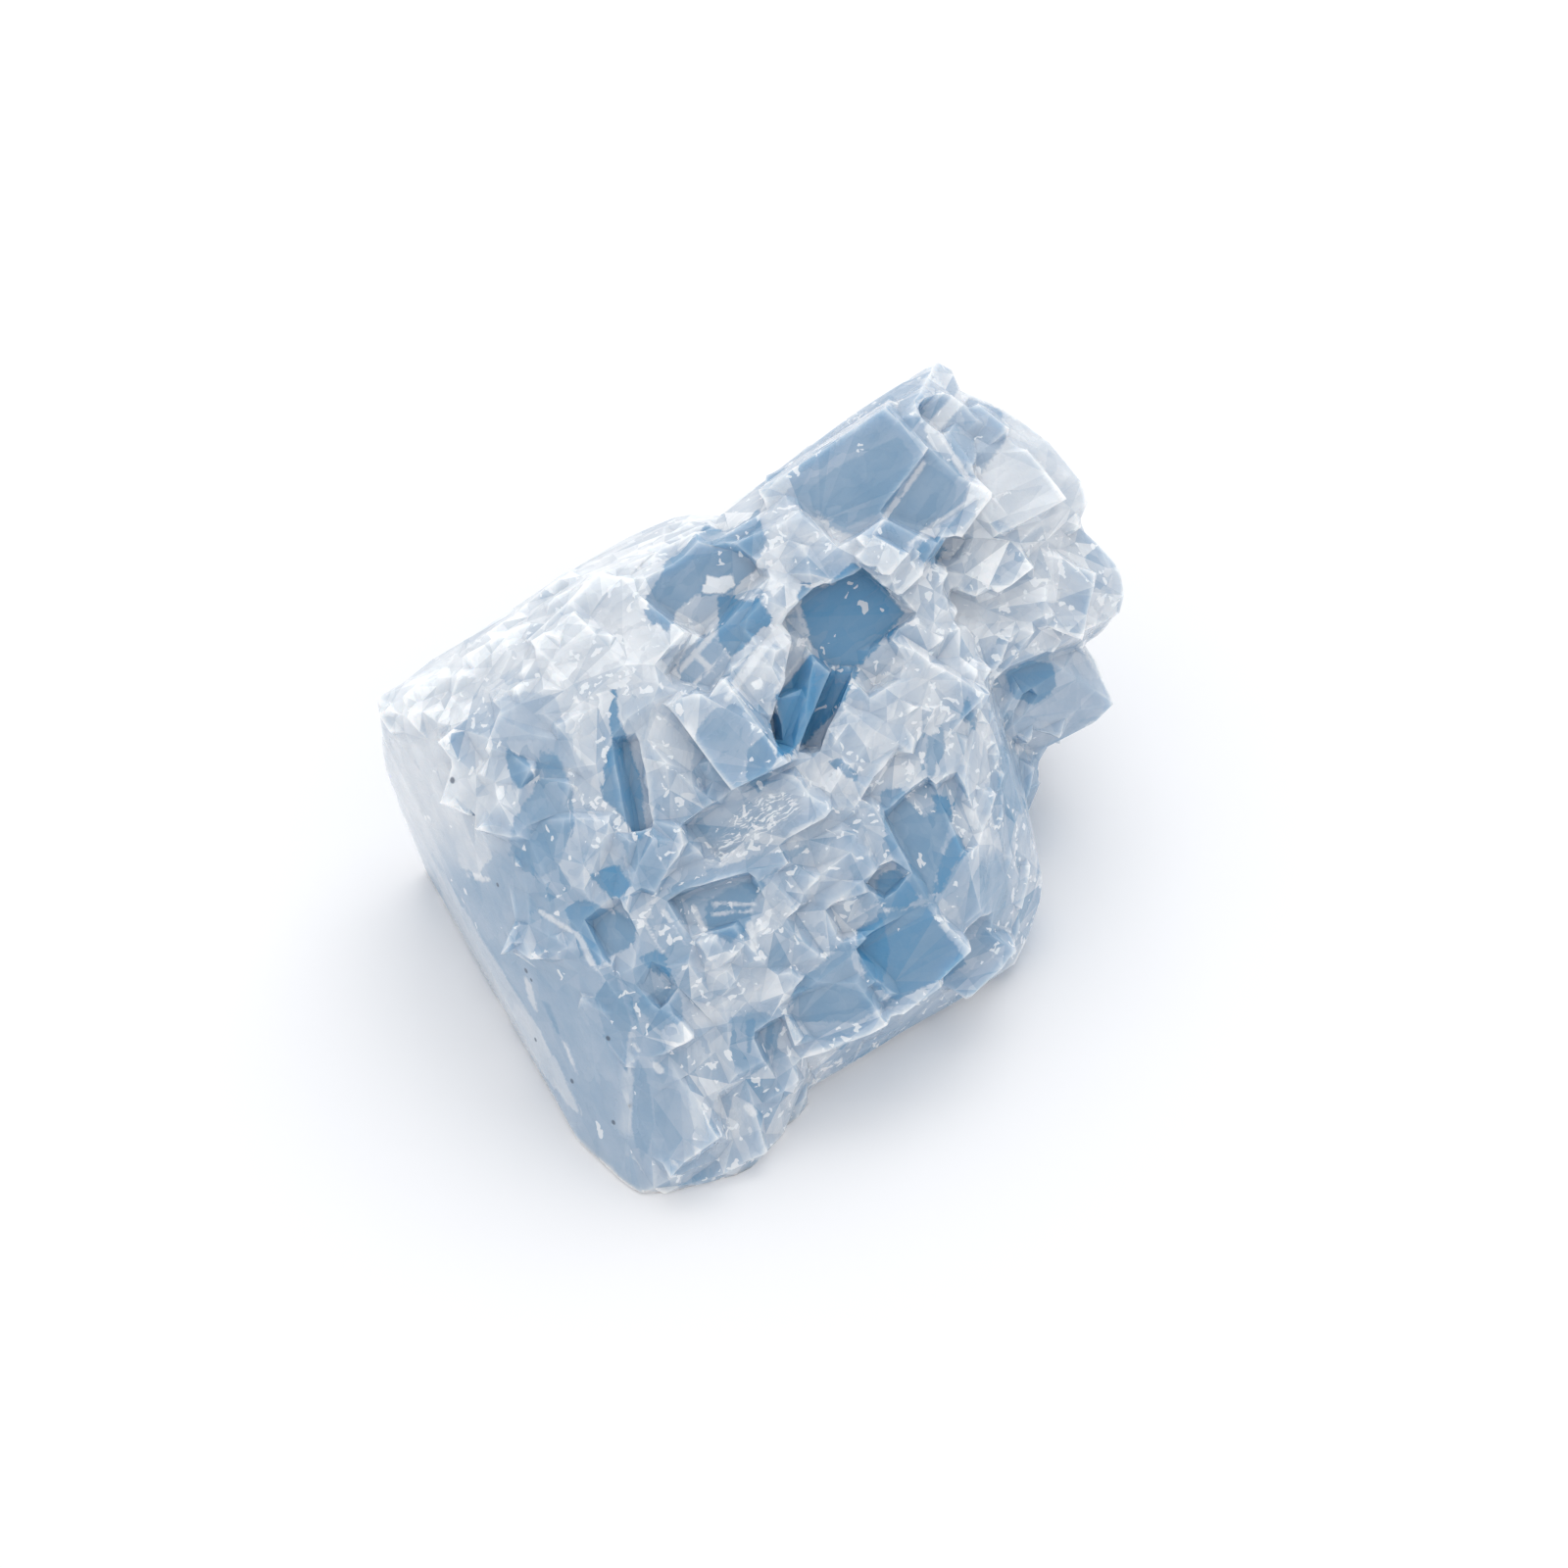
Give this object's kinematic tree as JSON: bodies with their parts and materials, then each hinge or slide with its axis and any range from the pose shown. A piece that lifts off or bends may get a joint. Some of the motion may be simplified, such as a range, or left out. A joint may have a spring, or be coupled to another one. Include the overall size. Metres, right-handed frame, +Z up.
{
  "type": "blue calcite",
  "caption": "Rough cleaved chunk of pale blue calcite with a smooth cleaved end, flat blue windows, frosted white ridges and a flat side to lie on.",
  "frame": {"origin": "middle of the stone's box at the height of the surface it lies on", "axes": "+Z up; +X along the long axis from the smooth cleaved end to the ragged end; the broken face looks up and towards -Y"},
  "size_m": [0.064, 0.0512, 0.0416],
  "materials": {
    "calcite": "translucent, satin on the cleavage faces and frosted white on the broken ridges"
  },
  "bodies": {
    "root": {"calcite": "calcite"}
  },
  "joints": []
}
